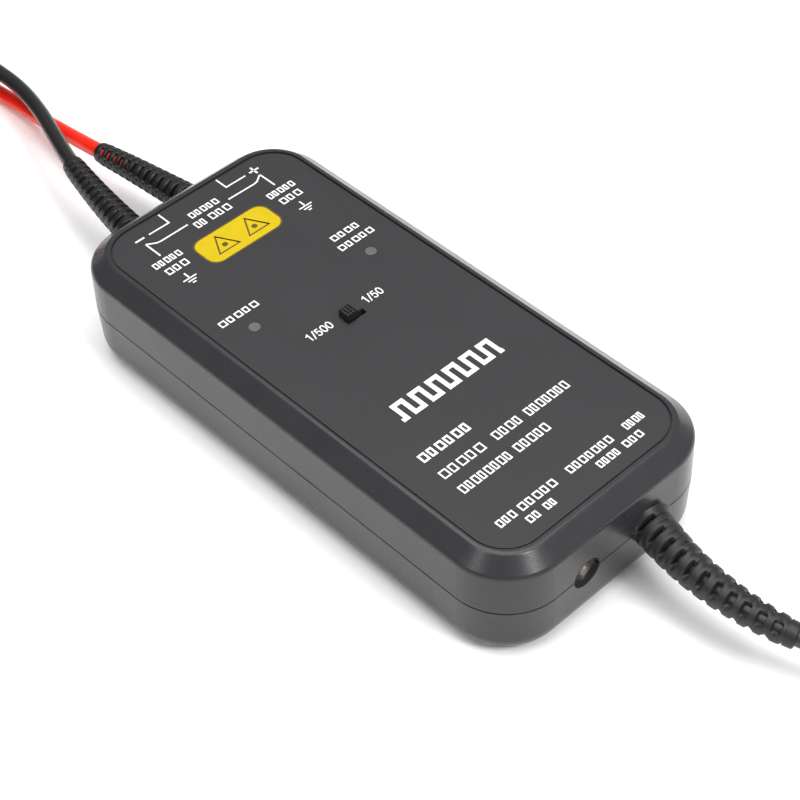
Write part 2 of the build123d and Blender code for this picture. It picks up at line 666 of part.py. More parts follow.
def test_plug_pin(pole):
    """The brass pin of a test plug, held in the grip, with its rounded tip just inside the shroud."""
    y, z = TEST_PLUG_Y[pole], TEST_PLUG_HEIGHT
    root = TEST_PLUG_START - PLUG_TAIL - 10
    floor = TEST_PLUG_START - PLUG_TAIL - PLUG_GRIP - 0.5
    tip = TEST_PLUG_START - PLUG_TAIL - PLUG_GRIP - PLUG_SHROUD + 0.8
    pin = turned(TEST_PIN_RADIUS, tip, floor, y, z)
    pin = fillet(pin.edges().sort_by(Axis.X)[0], 0.9)
    return pin + turned(TEST_PIN_RADIUS - PIN_ROOT_STEP, floor, root, y, z)


BNC_BOOT = 12.0
BNC_FERRULE = 6.0
BNC_BODY = 7.0
BNC_NUT_LENGTH = 14.5
BNC_NUT_RADIUS = 7.2
BNC_NUT_START = BNC_START + BNC_BOOT + BNC_FERRULE + 4.0
BNC_TIP = BNC_NUT_START + BNC_NUT_LENGTH
BNC_BARREL = 4.05
BNC_PIN_RADIUS = 0.68
BNC_INSULATOR_REACH = 10.0


def bnc_boot():
    end = BNC_START + BNC_BOOT
    outline = Polyline((BNC_START, 0), (BNC_START, 2.5), (end, 3.7), (end, 0), (BNC_START, 0))
    body = revolve(make_face(outline), Axis.X)
    for number in range(3):
        x = BNC_START + 3 + number * 3
        body -= turned(6, x - 0.4, x + 0.4) - turned(2.2, x - 1, x + 1)
    body -= turned(COAX_DIAMETER / 2, BNC_START - 1, BNC_START + BNC_BOOT + 1)
    return Pos(0, BNC_Y, BNC_HEIGHT) * body


def bnc_body():
    """The plug's fixed metal part: crimp sleeve, stepped body and the barrel inside the nut."""
    crimp = BNC_START + BNC_BOOT
    shoulder = crimp + BNC_FERRULE
    neck = shoulder + 4.0
    outline = Polyline(
        (crimp, 0), (crimp, 3.2), (shoulder, 3.2), (shoulder, 5.2), (neck - 0.3, 5.2), (neck - 0.3, 4.6),
        (neck + 3.0, 4.6), (neck + 3.0, BNC_BARREL), (BNC_TIP - 0.6, BNC_BARREL), (BNC_TIP - 0.6, 0),
        (crimp, 0),
    )
    body = revolve(make_face(outline), Axis.X)
    body -= turned(3.45, neck + 4, BNC_TIP + 1)
    body -= turned(1.9, crimp - 1, BNC_TIP)
    for quarter in range(4):
        slit = block((neck + 7, BNC_TIP + 1), (-0.2, 0.2), (2.5, 6))
        body -= Rot(45 + 90 * quarter, 0, 0) * slit
    return Pos(0, BNC_Y, BNC_HEIGHT) * body


def bnc_insulator():
    neck = BNC_NUT_START
    core = turned(1.85, BNC_START + BNC_BOOT + 1, neck + 5)
    core += turned(2.4, neck + 4.05, neck + BNC_INSULATOR_REACH)
    core -= turned(BNC_PIN_RADIUS - PIN_ROOT_STEP, BNC_START, BNC_TIP)
    return Pos(0, BNC_Y, BNC_HEIGHT) * core


def bnc_pin():
    face = BNC_NUT_START + BNC_INSULATOR_REACH
    pin = turned(BNC_PIN_RADIUS, face, BNC_TIP - 1.2, BNC_Y, BNC_HEIGHT)
    pin = fillet(pin.edges().sort_by(Axis.X)[-1], 0.3)
    return pin + turned(BNC_PIN_RADIUS - PIN_ROOT_STEP, BNC_START + BNC_BOOT + 1, face, BNC_Y, BNC_HEIGHT)


def bnc_nut():
    """The knurled bayonet nut that turns on the plug's body."""
    start, tip = BNC_NUT_START, BNC_TIP
    outline = Polyline(
        (start, 4.66), (start, 6.4), (start + 0.8, BNC_NUT_RADIUS), (tip - 3.5, BNC_NUT_RADIUS),
        (tip - 3.0, 6.6), (tip, 6.6), (tip, 4.95), (start + 3.2, 4.95), (start + 3.2, 4.66), (start, 4.66),
    )
    nut = revolve(make_face(outline), Axis.X)
    for number in range(24):
        groove = block((start - 1, tip - 3.2), (-0.3, 0.3), (BNC_NUT_RADIUS - 0.35, BNC_NUT_RADIUS + 1))
        nut -= Rot(15 * number, 0, 0) * groove
    for half in (0, 1):
        # Each bayonet track runs in from the mouth and ends in a round seat.
        track = block((tip - 6, tip + 1), (-1.05, 1.05), (4, 6.0))
        track += Pos(tip - 6, 0, 5) * Cylinder(1.05, 2)
        nut -= Rot(180 * half, 0, 0) * track
    return Pos(0, BNC_Y, BNC_HEIGHT) * nut


# ---------------------------------------------------------------- put together

def boots():
    lead_hole, cable_hole = LEAD_DIAMETER / 2, COAX_DIAMETER / 2
    nodes = {}
    for pole in ("positive", "negative"):
        route = LEAD_ROUTES[pole]
        nodes[f"{pole}_boot"] = strain_relief(
            route, 3, LEAD_BOOT_REACH, 15, LEAD_BOOT_RADII, lead_hole, LEAD_BOOT_COLLAR, INPUT_NECK - 0.05
        )
    nodes["output_boot"] = strain_relief(
        COAX_ROUTE, 2, COAX_BOOT_REACH, 11, COAX_BOOT_RADII, cable_hole, COAX_BOOT_COLLAR, OUTPUT_NECK - 0.05
    )
    return nodes


def main():
    nodes = {
        "lower_shell": lower_shell(),
        "upper_shell": upper_shell(),
        "front_panel": front_panel(),
        "case_screws": case_screws(),
        "board_screws": board_screws(),
        "circuit_board": circuit_board(),
        "positive_divider_resistors": divider_resistors(1),
        "negative_divider_resistors": divider_resistors(-1),
        "positive_input_wire": input_wire(1),
        "negative_input_wire": input_wire(-1),
        "output_wire": output_wire(),
        "input_screen": input_screen(),
        "trimmer_bodies": trimmer_bodies(),
        "gain_trimmer_rotor": trimmer_rotor("gain"),
        "balance_trimmer_rotor": trimmer_rotor("balance"),
        "amplifier_chips": amplifier_chips(),
        "small_components": small_components(),
        "storage_capacitors": storage_capacitors(),
        "power_choke": power_choke(),
        "power_light": indicator_light(-1),
        "overrange_light": indicator_light(1),
        "light_spacers": light_spacers(),
        "switch_frame": switch_frame(),
        "switch_base": switch_base(),
        "switch_terminals": switch_terminals(),
        "switch_lever": switch_lever(),
        "switch_wiper": switch_wiper(),
        "range_slider": range_slider(),
        "power_socket_housing": power_socket_housing(),
        "power_socket_sleeve": power_socket_sleeve(),
        "power_socket_pin": power_socket_pin(),
        "bnc_boot": bnc_boot(),
        "bnc_body": bnc_body(),
        "bnc_insulator": bnc_insulator(),
        "bnc_pin": bnc_pin(),
        "bnc_nut": bnc_nut(),
    }
    nodes.update(boots())
    lead_coil = coil_length(LEAD_COIL_OUTER_TURN, LEAD_COIL_STEP, LEAD_TURNS_EACH_WAY)
    for number, pole in enumerate(("positive", "negative")):
        nodes[f"{pole}_plug_grip"] = test_plug_grip(pole)
        nodes[f"{pole}_plug_pin"] = test_plug_pin(pole)
        nodes[f"{pole}_lead"], lead = cable(LEAD_ROUTES[pole], LEAD_DIAMETER)
        nodes[f"{pole}_lead_tail"], tail = cable(LEAD_TAILS[pole], LEAD_DIAMETER)
        nodes[f"{pole}_lead_coil"] = coil(
            LEAD_COIL_CENTRE, LEAD_COIL_OUTER_TURN, LEAD_COIL_STEP, LEAD_TURNS_EACH_WAY, LEAD_DIAMETER,
            number * 2 * LEAD_DIAMETER,
        )
        print(pole, "lead", round(lead + lead_coil + tail, 1))
    nodes["output_cable"], near = cable(COAX_ROUTE, COAX_DIAMETER)
    nodes["output_cable_tail"], far = cable(COAX_TAIL, COAX_DIAMETER)
    nodes["output_cable_coil"] = coil(
        COAX_COIL_CENTRE, COAX_COIL_OUTER_TURN, COAX_COIL_STEP, COAX_TURNS_EACH_WAY, COAX_DIAMETER, 0
    )
    coax_coil = coil_length(COAX_COIL_OUTER_TURN, COAX_COIL_STEP, COAX_TURNS_EACH_WAY)
    print("output cable", round(near + coax_coil + far, 1))

    os.makedirs("parts", exist_ok=True)
    for name, solid in nodes.items():
        export_step(solid, f"parts/{name}.step")
    print(len(nodes), "nodes")


main()
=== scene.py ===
"""The looks of a two-lead isolating probe: materials, printed panel, slotted bend reliefs, cables and plugs.

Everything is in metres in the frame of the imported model: +X along the box towards the output cable, +Z up,
origin in the middle of the underside of the box.
"""
import json
import math

import bpy
from mathutils import Matrix, Vector


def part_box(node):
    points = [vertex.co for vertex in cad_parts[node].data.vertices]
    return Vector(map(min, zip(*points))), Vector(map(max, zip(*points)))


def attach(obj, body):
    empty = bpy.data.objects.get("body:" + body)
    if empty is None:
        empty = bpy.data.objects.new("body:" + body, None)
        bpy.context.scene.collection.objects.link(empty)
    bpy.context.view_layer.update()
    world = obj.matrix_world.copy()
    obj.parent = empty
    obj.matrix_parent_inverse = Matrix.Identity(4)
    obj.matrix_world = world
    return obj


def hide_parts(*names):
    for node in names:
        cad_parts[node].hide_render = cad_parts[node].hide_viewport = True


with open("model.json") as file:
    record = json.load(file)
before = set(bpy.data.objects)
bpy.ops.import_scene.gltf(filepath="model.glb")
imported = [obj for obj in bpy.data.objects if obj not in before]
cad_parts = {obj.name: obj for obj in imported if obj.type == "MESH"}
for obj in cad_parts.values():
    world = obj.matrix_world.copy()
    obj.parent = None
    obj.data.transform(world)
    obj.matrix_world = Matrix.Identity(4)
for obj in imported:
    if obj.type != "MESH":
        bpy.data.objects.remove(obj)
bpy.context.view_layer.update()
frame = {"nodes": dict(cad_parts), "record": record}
MM = 0.001
ROOT = "probe"


# ---------------------------------------------------------------- small helpers


def srgb(*channels):
    """Linear colour of an 8-bit display colour."""
    linear = []
    for channel in channels:
        share = channel / 255
        linear.append(share / 12.92 if share <= 0.04045 else ((share + 0.055) / 1.055) ** 2.4)
    return (*linear, 1.0)


def link_object(name, data):
    """An object with the data, in the scene."""
    piece = bpy.data.objects.new(name, data)
    bpy.context.scene.collection.objects.link(piece)
    return piece


def mesh_piece(name, points, faces, material, smooth=True):
    """A mesh object from points in millimetres."""
    mesh = bpy.data.meshes.new(name)
    mesh.from_pydata([(x * MM, y * MM, z * MM) for x, y, z in points], [], faces)
    mesh.validate()
    mesh.update()
    mesh.polygons.foreach_set("use_smooth", [smooth] * len(mesh.polygons))
    mesh.materials.append(material)
    piece = link_object(name, mesh)
    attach(piece, ROOT)
    return piece


# ---------------------------------------------------------------- materials


materials = {}


class Surface:
    """A Principled material whose colour, roughness and relief come from noise in the part's own frame.

    It is kept in materials under its name. Sizes and heights are in millimetres.
    """

    def __init__(self, name, colour, roughness, **sockets):
        self.material = bpy.data.materials.new(name)
        materials[name] = self.material
        self.material.use_nodes = True
        self.tree = self.material.node_tree
        self.shader = self.tree.nodes["Principled BSDF"]
        self.shader.inputs["Base Color"].default_value = colour
        self.shader.inputs["Roughness"].default_value = roughness
        for socket, value in sockets.items():
            self.shader.inputs[socket.replace("_", " ")].default_value = value
        self.colour, self.roughness = colour, roughness
        self.place = self.node("ShaderNodeTexCoord").outputs["Object"]
        self.relief = None

    def node(self, kind, **settings):
        """A new shader node with its settings."""
        node = self.tree.nodes.new(kind)
        for key, value in settings.items():
            setattr(node, key, value)
        return node

    def join(self, source, target):
        self.tree.links.new(source, target)

    def noise(self, size, detail=3.0, stretch=None):
        """Noise whose features are about size millimetres across."""
        place = self.place
        if stretch:
            mapping = self.node("ShaderNodeMapping")
            mapping.inputs["Scale"].default_value = stretch
            self.join(place, mapping.inputs["Vector"])
            place = mapping.outputs["Vector"]
        noise = self.node("ShaderNodeTexNoise")
        noise.inputs["Scale"].default_value = 1 / (size * MM)
        noise.inputs["Detail"].default_value = detail
        self.join(place, noise.inputs["Vector"])
        return noise.outputs["Fac"]

    def ramp(self, source, low, high, start=0.35, end=0.65):
        """The source remapped from between start and end to between low and high."""
        remap = self.node("ShaderNodeMapRange")
        remap.inputs["From Min"].default_value = start
        remap.inputs["From Max"].default_value = end
        remap.inputs["To Min"].default_value = low
        remap.inputs["To Max"].default_value = high
        self.join(source, remap.inputs["Value"])
        return remap.outputs["Result"]

    def mottle(self, size, amount, tint=(1.0, 1.0, 1.0), detail=3.0, stretch=None):
        """Lets the colour drift between a darker and a lighter, tinted shade."""
        darker = [channel * (1 - amount) for channel in self.colour[:3]]
        lighter = [channel * (1 + amount) * hue for channel, hue in zip(self.colour[:3], tint)]
        mix = self.node("ShaderNodeMix", data_type="RGBA")
        mix.inputs["A"].default_value = (*darker, 1)
        mix.inputs["B"].default_value = (*lighter, 1)
        self.join(self.ramp(self.noise(size, detail, stretch), 0, 1), mix.inputs["Factor"])
        self.join(mix.outputs["Result"], self.shader.inputs["Base Color"])
        return self

    def polish(self, size, spread, stretch=None):
        """Lets the roughness drift by the spread either way."""
        patches = self.noise(size, 4.0, stretch)
        drift = self.ramp(patches, self.roughness - spread, self.roughness + spread)
        self.join(drift, self.shader.inputs["Roughness"])
        return self

    def grain(self, size, height, detail=2.0, stretch=None):
        """Adds noise of a given height to the relief that is there already."""
        self.bump(self.noise(size, detail, stretch), height)
        return self

    def cells(self, size, height):
        """Adds the pebbled relief of spark-eroded moulds."""
        pebbles = self.node("ShaderNodeTexVoronoi", feature="SMOOTH_F1")
        pebbles.inputs["Scale"].default_value = 1 / (size * MM)
        self.join(self.place, pebbles.inputs["Vector"])
        self.bump(pebbles.outputs["Distance"], height)
        return self

    def glow_through(self, weight, *reach):
        """Lets light travel under the surface, by the reach of its red, green and blue."""
        self.shader.inputs["Subsurface Weight"].default_value = weight
        self.shader.inputs["Subsurface Radius"].default_value = [distance * MM for distance in reach]
        return self

    def bump(self, source, height):
        """Lays the source's relief over the relief so far."""
        bump = self.node("ShaderNodeBump")
        bump.inputs["Distance"].default_value = height * MM
        self.join(source, bump.inputs["Height"])
        if self.relief:
            self.join(self.relief, bump.inputs["Normal"])
        self.relief = bump.outputs["Normal"]
        self.join(self.relief, self.shader.inputs["Normal"])


def make_case_materials():
    """The box, its film and inks, the knob and the lights."""
    case = Surface("case_plastic", srgb(50, 49, 51), 0.26, Specular_IOR_Level=0.36)
    case.mottle(9, 0.05, (1.0, 0.99, 1.01)).polish(14, 0.03).cells(0.28, 0.008).grain(0.9, 0.006)
    film = Surface("panel_film", srgb(45, 44, 46), 0.46, Specular_IOR_Level=0.38)
    film.mottle(16, 0.03).polish(20, 0.03).grain(0.16, 0.005).grain(3.5, 0.004)
    ink = Surface("white_ink", srgb(238, 238, 238), 0.55)
    ink.mottle(0.5, 0.04).grain(0.1, 0.004)
    yellow = Surface("yellow_ink", srgb(196, 170, 24), 0.5, Specular_IOR_Level=0.12)
    yellow.mottle(3.0, 0.04, (1.0, 0.98, 0.9)).grain(0.12, 0.004)
    olive = Surface("olive_ink", srgb(84, 72, 12), 0.55)
    olive.mottle(0.8, 0.08).grain(0.12, 0.004)
    knob = Surface("knob_plastic", srgb(28, 28, 29), 0.42)
    knob.mottle(2, 0.1).polish(3, 0.05).grain(0.15, 0.008)
    lens = Surface("lens_grey", srgb(94, 92, 94), 0.34, Coat_Weight=0.1)
    lens.mottle(0.9, 0.07).polish(1.2, 0.04).grain(0.5, 0.006).glow_through(0.3, 0.6, 0.6, 0.6)


def make_cable_materials():
    """The cables, their bend reliefs and the plastic of the plugs."""
    soft = Surface("soft_black", srgb(21, 21, 22), 0.42, Specular_IOR_Level=0.4)
    soft.mottle(5, 0.07).polish(6, 0.05).grain(0.22, 0.010).grain(1.6, 0.012)
    soft_grey = Surface("soft_grey", srgb(38, 37, 39), 0.46, Specular_IOR_Level=0.36)
    soft_grey.mottle(5, 0.06).polish(6, 0.05).grain(0.22, 0.010).grain(1.6, 0.012)
    red_lead = Surface("red_silicone", srgb(232, 34, 14), 0.36, Specular_IOR_Level=0.45)
    red_lead.mottle(6, 0.06, (1.0, 0.9, 0.9)).polish(9, 0.05).grain(0.3, 0.006).grain(2.5, 0.012)
    red_lead.glow_through(0.12, 1.2, 0.3, 0.2)
    black_lead = Surface("black_silicone", srgb(28, 29, 30), 0.34, Specular_IOR_Level=0.5)
    black_lead.mottle(6, 0.07).polish(9, 0.05).grain(0.3, 0.006).grain(2.5, 0.012)
    coax = Surface("coax_jacket", srgb(44, 44, 46), 0.4, Specular_IOR_Level=0.5)
    coax.mottle(7, 0.06).polish(9, 0.05).grain(0.25, 0.008).grain(2.8, 0.014)
    red_plastic = Surface("red_plastic", srgb(206, 28, 20), 0.3, Coat_Weight=0.15)
    red_plastic.mottle(8, 0.05).polish(10, 0.05).cells(0.5, 0.006)
    black_plastic = Surface("black_plastic", srgb(38, 38, 39), 0.32, Coat_Weight=0.12)
    black_plastic.mottle(8, 0.06).polish(10, 0.05).cells(0.5, 0.006)
    ptfe = Surface("ptfe", srgb(232, 230, 224), 0.42)
    ptfe.mottle(2, 0.03).polish(2, 0.04).grain(0.3, 0.006)


def make_metals():
    """Plating, screws, wires and sheet metal."""
    nickel = Surface("nickel", (0.78, 0.76, 0.72, 1), 0.3, Metallic=1.0)
    nickel.mottle(4, 0.05, (1.0, 0.98, 0.94)).polish(1.6, 0.06, (1, 6, 6)).grain(0.35, 0.002, 2, (0.3, 8, 8))
    gold = Surface("gold_plate", (0.86, 0.6, 0.24, 1), 0.22, Metallic=1.0)
    gold.mottle(2, 0.05).polish(1.2, 0.05).grain(0.3, 0.002)
    zinc = Surface("zinc_screw", (0.52, 0.52, 0.53, 1), 0.34, Metallic=1.0)
    zinc.mottle(1.4, 0.12).polish(1.0, 0.08).grain(0.2, 0.006)
    tinned = Surface("tinned_copper", (0.72, 0.71, 0.68, 1), 0.3, Metallic=1.0)
    tinned.mottle(1.0, 0.08).polish(0.8, 0.07).grain(0.2, 0.004)
    steel = Surface("screen_steel", (0.6, 0.6, 0.61, 1), 0.32, Metallic=1.0)
    steel.mottle(6, 0.06).polish(0.9, 0.08, (8, 1, 1)).grain(0.25, 0.003, 2, (8, 1, 1))
    can = Surface("capacitor_can", (0.6, 0.6, 0.62, 1), 0.3, Metallic=1.0)
    can.mottle(3, 0.06).polish(1.2, 0.07, (1, 1, 8)).grain(0.3, 0.003)


def make_board_materials():
    """The circuit board and the bodies of the components on it."""
    board = Surface("board_laminate", srgb(18, 84, 44), 0.32, Coat_Weight=0.3)
    board.mottle(5, 0.12, (1.0, 1.05, 0.95)).polish(6, 0.05).grain(0.5, 0.008)
    lacquer = Surface("resistor_body", srgb(74, 112, 168), 0.3, Coat_Weight=0.25)
    lacquer.mottle(2, 0.1).polish(3, 0.05).grain(0.6, 0.02)
    epoxy = Surface("chip_epoxy", srgb(30, 30, 31), 0.55)
    epoxy.mottle(1.2, 0.12).polish(2, 0.06).grain(0.12, 0.01)
    ceramic = Surface("component_body", srgb(150, 126, 96), 0.5)
    ceramic.mottle(0.8, 0.15).polish(2, 0.05).grain(0.2, 0.008)
    ferrite = Surface("ferrite", srgb(70, 70, 74), 0.6)
    ferrite.mottle(0.7, 0.12).polish(1, 0.05).grain(0.2, 0.012)
    blue = Surface("trimmer_blue", srgb(34, 74, 160), 0.34, Coat_Weight=0.15)
    blue.mottle(3, 0.06).polish(3, 0.05).grain(0.3, 0.005)


def dress_nodes():
    """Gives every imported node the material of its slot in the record."""
    for entry in frame["record"]["subparts"]:
        node = frame["nodes"][entry["node"]]
        node.data.materials.clear()
        node.data.materials.append(materials[entry["material_slot"]])


make_case_materials()
make_cable_materials()
make_metals()
make_board_materials()
dress_nodes()


# ---------------------------------------------------------------- cables

LEAD_DIAMETER = 3.4
COAX_DIAMETER = 3.4
LEAD_COIL_CENTRE = (-155.0, -9.3)
LEAD_COIL_OUTER_TURN = 16.3
LEAD_COIL_STEP = 3.4
LEAD_TURNS = 4
COAX_COIL_CENTRE = (147.0, 0.0)
COAX_COIL_OUTER_TURN = 24.6
COAX_COIL_STEP = 3.4
COAX_TURNS = 7
POINTS_PER_TURN = 18
TOP_OF_COIL = 90.0
STEPS_BETWEEN_POINTS = 8
TUBE_RESOLUTION = 7

LEAD_ROUTES = {
    "positive": [
        (-60, 8.0, 12.1), (-70, 7.0, 11.8), (-82, 6.1, 11.3), (-94.5, 5.2, 10.2), (-106, 6.2, 7.3),
        (-118, 6.8, 4.8), (-129.5, 8.0, 2.7), (-140, 7.6, 1.8), (-148, 7.1, 1.7), (-155, 7.0, 1.7),
    ],
    "negative": [
        (-60, -8.0, 12.1), (-70, -6.9, 12.0), (-82, -4.9, 11.8), (-94, -2.3, 11.5), (-105, 1.5, 10.8),
        (-115.5, 5.1, 9.9), (-126, 7.5, 9.2), (-137, 7.9, 8.7), (-147, 7.3, 8.5), (-155, 7.0, 8.5),
    ],
}
LEAD_TAILS = {
    "positive": [(-155, 7.0, 5.1), (-161.5, 7.1, 5.1), (-168, 7.4, 5.3), (-175, 7.8, 5.5)],
    "negative": [
        (-146.85, 4.8, 11.9), (-153, 8.5, 11.9), (-160, 13.4, 10.0), (-167.5, 18.0, 7.0), (-175, 20.0, 5.5),
    ],
}
COAX_ROUTE = [
    (60, 8.3, 12.1), (68, 6.2, 11.7), (79, 5.4, 11.5), (90, 6.5, 11.2), (101, 10.5, 9.9),
    (112, 14.0, 6.2), (122, 17.2, 2.7), (131, 20.6, 1.75), (139, 23.2, 1.7), (147, 24.6, 1.7),
]
COAX_TAIL = [(147, 24.6, 5.1), (154.5, 25.0, 5.2), (162, 24.2, 6.2), (170, 21.8, 7.2), (178, 20.0, 7.5)]


def smooth_step(value):
    """An even rise from 0 to 1 with level ends."""
    value = min(max(value, 0.0), 1.0)
    return value * value * (3 - 2 * value)


def coil_points(centre, outer_turn, step, turns, direction, diameter, bottom, last_angle=TOP_OF_COIL):
    """Points of a flat coil of two layers: in along the lower one, up, and out again along the upper one.

    It starts at its edge towards +Y, where the cable runs along X, and ends there or at the last angle.
    The direction is 1 anticlockwise and -1 clockwise.
    """
    low, high = bottom + diameter / 2, bottom + diameter * 1.5
    sweep = 360.0 * turns + (last_angle - TOP_OF_COIL) * direction
    steps = round(sweep / 360 * POINTS_PER_TURN)
    half = steps / 2
    points = []
    for number in range(1, steps):
        angle = math.radians(TOP_OF_COIL + direction * sweep * number / steps)
        inward = turns / 2 * step * (1 - abs(number / half - 1))
        half_turns_past_middle = (number - half) / (POINTS_PER_TURN / 2)
        height = low + (high - low) * smooth_step(half_turns_past_middle + 0.5)
        radius = outer_turn - inward
        points.append((centre[0] + radius * math.cos(angle), centre[1] + radius * math.sin(angle), height))
    return points


def cable_piece(name, points, diameter, slot):
    """A cable as one NURBS spline with the points as its control points, and its bare centreline."""
    curve = bpy.data.curves.new(name, "CURVE")
    curve.dimensions = "3D"
    curve.resolution_u = STEPS_BETWEEN_POINTS
    spline = curve.splines.new("NURBS")
    spline.points.add(len(points) - 1)
    for target, (x, y, z) in zip(spline.points, points):
        target.co = (x * MM, y * MM, z * MM, 1)
    spline.order_u = 3
    spline.use_endpoint_u = True
    piece = link_object(name, curve)
    bare = bpy.data.meshes.new_from_object(piece.evaluated_get(bpy.context.evaluated_depsgraph_get()))
    line = [vertex.co.copy() for vertex in bare.vertices]
    bpy.data.meshes.remove(bare)
    curve.bevel_depth = diameter / 2 * MM
    curve.bevel_resolution = TUBE_RESOLUTION
    curve.use_fill_caps = True
    curve.materials.append(materials[slot])
    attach(piece, ROOT)
    return piece, line


def make_cables():
    """The three cables and their centrelines, by name.

    The negative lead's coil lies on the positive one's, and its end leaves before a full turn.
    """
    pieces, lines = {}, {}
    for pole, slot, first_layer, last_angle in (
        ("positive", "red_silicone", 0, TOP_OF_COIL),
        ("negative", "black_silicone", 2, 60.0),
    ):
        winding = coil_points(
            LEAD_COIL_CENTRE, LEAD_COIL_OUTER_TURN, LEAD_COIL_STEP, LEAD_TURNS, 1, LEAD_DIAMETER,
            first_layer * LEAD_DIAMETER, last_angle,
        )
        points = LEAD_ROUTES[pole] + winding + LEAD_TAILS[pole]
        pieces[pole], lines[pole] = cable_piece(f"{pole}_lead_cable", points, LEAD_DIAMETER, slot)
        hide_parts(f"{pole}_lead", f"{pole}_lead_coil", f"{pole}_lead_tail")
    winding = coil_points(
        COAX_COIL_CENTRE, COAX_COIL_OUTER_TURN, COAX_COIL_STEP, COAX_TURNS, -1, COAX_DIAMETER, 0
    )
    points = COAX_ROUTE + winding + COAX_TAIL
    pieces["output"], lines["output"] = cable_piece("output_coax", points, COAX_DIAMETER, "coax_jacket")
    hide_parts("output_cable", "output_cable_coil", "output_cable_tail")
    return pieces, lines


# ---------------------------------------------------------------- slotted bend reliefs


def along_line(line):
    """A function from a distance in millimetres to the point and direction of a centreline."""
    marks = [0.0]
    for a, b in zip(line, line[1:]):
        marks.append(marks[-1] + (b - a).length / MM)

    def at(distance):
        inside = min(max(distance, 0.0), marks[-1])
        index = next(number for number in range(1, len(marks)) if marks[number] >= inside)
        share = (inside - marks[index - 1]) / (marks[index] - marks[index - 1])
        point = line[index - 1].lerp(line[index], share) / MM
        before, after = line[max(index - 3, 0)], line[min(index + 3, len(line) - 1)]
        return point, (after - before).normalized()

    return at


COLLAR_LENGTH = 1.6
TIP_ROUNDING = 0.5
WINDOW_EDGE = 0.12
WINDOW_DEPTH_PAST_CABLE = 0.3
MESH_ROW = 0.09
MESH_COLUMNS = 144

# A rib's height from the middle of a window to its crown, as a share of the pitch. Then, as shares of
# that height: the surface where there are no windows, and the level of the plain cone.
RIB_HEIGHT = 0.26
PLAIN_RIB = 0.8
CONE_LEVEL = 0.7


class BendRelief:
    """The surface of a tapered moulded relief: a collar, scalloped ribs and windows facing two ways in turn.

    The first and last windows are that far from the root. Angles are about the cable, from the first facing.
    """

    def __init__(self, reach, windows, first, last, root_radius, tip_radius, cable_radius, collar_radius):
        self.reach, self.windows, self.first = reach, windows, first
        self.root_radius, self.tip_radius = root_radius, tip_radius
        self.cable_radius, self.collar_radius = cable_radius, collar_radius
        self.pitch = (last - first) / (windows - 1)
        self.scallop = RIB_HEIGHT * self.pitch

    def cone(self, distance):
        """The radius without collar, ribs and windows."""
        return self.root_radius + (self.tip_radius - self.root_radius) * distance / self.reach

    def rib(self, distance, shift):
        """1 on the crown of a rib, 0 in the middle of a window; shift moves both by part of a pitch."""
        turn = (distance - self.first) / self.pitch - shift
        if turn < -0.5 or turn > self.windows - 0.5 - shift:
            return PLAIN_RIB
        past_window = turn - math.floor(turn)
        return math.sqrt(max(0.0, 1 - (2 * past_window - 1) ** 4))

    def window(self, distance, angle, quarter):
        """How far inside the nearest window of this facing the point is: 1 inside, 0 outside.

        Towards the tip the windows get shorter round the relief and wider along it.
        """
        turn = (distance - self.first) / self.pitch - 0.5 * quarter
        number = round(turn)
        if number < 0 or number > self.windows - 1 - quarter:
            return 0.0
        share = distance / self.reach
        radius = self.cone(distance)
        half_long = radius * (1.15 - 0.3 * share) / 2
        half_wide = self.pitch * (0.28 + 0.3 * share) / 2
        across = radius * math.sin(angle - quarter * math.pi / 2)
        corner = half_wide * 0.6
        past_end = max(abs(across) - half_long + corner, 0)
        past_side = max(abs(turn - number) * self.pitch - half_wide + corner, 0)
        gap = math.hypot(past_end, past_side) - corner
        return smooth_step(0.5 - gap / WINDOW_EDGE)

    def radius(self, distance, angle):
        """How far the surface is from the cable's centreline."""
        body = self.cone(distance)
        facing_one_way = abs(math.cos(angle)) ** 3
        facing_other_way = abs(math.sin(angle)) ** 3
        ribs = facing_one_way * self.rib(distance, 0.0) + facing_other_way * self.rib(distance, 0.5)
        ribs += (1 - facing_one_way - facing_other_way) * PLAIN_RIB
        body += self.scallop * (ribs - CONE_LEVEL)
        flare = max(0.0, 1 - distance / COLLAR_LENGTH) ** 2
        body += (self.collar_radius - self.root_radius) * flare
        rounded_off = TIP_ROUNDING - (self.reach - distance)
        if rounded_off > 0:
            body -= TIP_ROUNDING - math.sqrt(max(0.0, TIP_ROUNDING ** 2 - rounded_off ** 2))
        depth = max(self.window(distance, angle, 0), self.window(distance, angle, 1))
        bottom = self.cable_radius - WINDOW_DEPTH_PAST_CABLE
        return body + (bottom - body) * depth


def bend_relief(name, relief, line, material, facing):
    """A mesh of the relief's surface round the start of its cable.

    Its first windows face from +Z towards -Y by the angle facing.
    """
    at = along_line(line)
    rows, columns = round(relief.reach / MESH_ROW), MESH_COLUMNS
    towards_front = Vector((0, -math.sin(math.radians(facing)), math.cos(math.radians(facing))))
    points, faces = [], []
    for row in range(rows + 1):
        distance = relief.reach * row / rows
        centre, way = at(distance)
        side = (towards_front - way * towards_front.dot(way)).normalized()
        across = way.cross(side)
        for column in range(columns):
            angle = 2 * math.pi * column / columns
            radius = relief.radius(distance, angle)
            points.append(centre + side * (radius * math.cos(angle)) + across * (radius * math.sin(angle)))
    # The tip closes with a ring just inside the cable's surface.
    tip_ring = points[-columns:]
    tip_centre, _ = at(relief.reach)
    for point in tip_ring:
        points.append(tip_centre + (point - tip_centre).normalized() * (relief.cable_radius - 0.1))
    for row in range(rows + 1):
        for column in range(columns):
            after = (column + 1) % columns
            here, there = row * columns, (row + 1) * columns
            faces.append((here + column, here + after, there + after, there + column))
    return mesh_piece(name, points, faces, material)


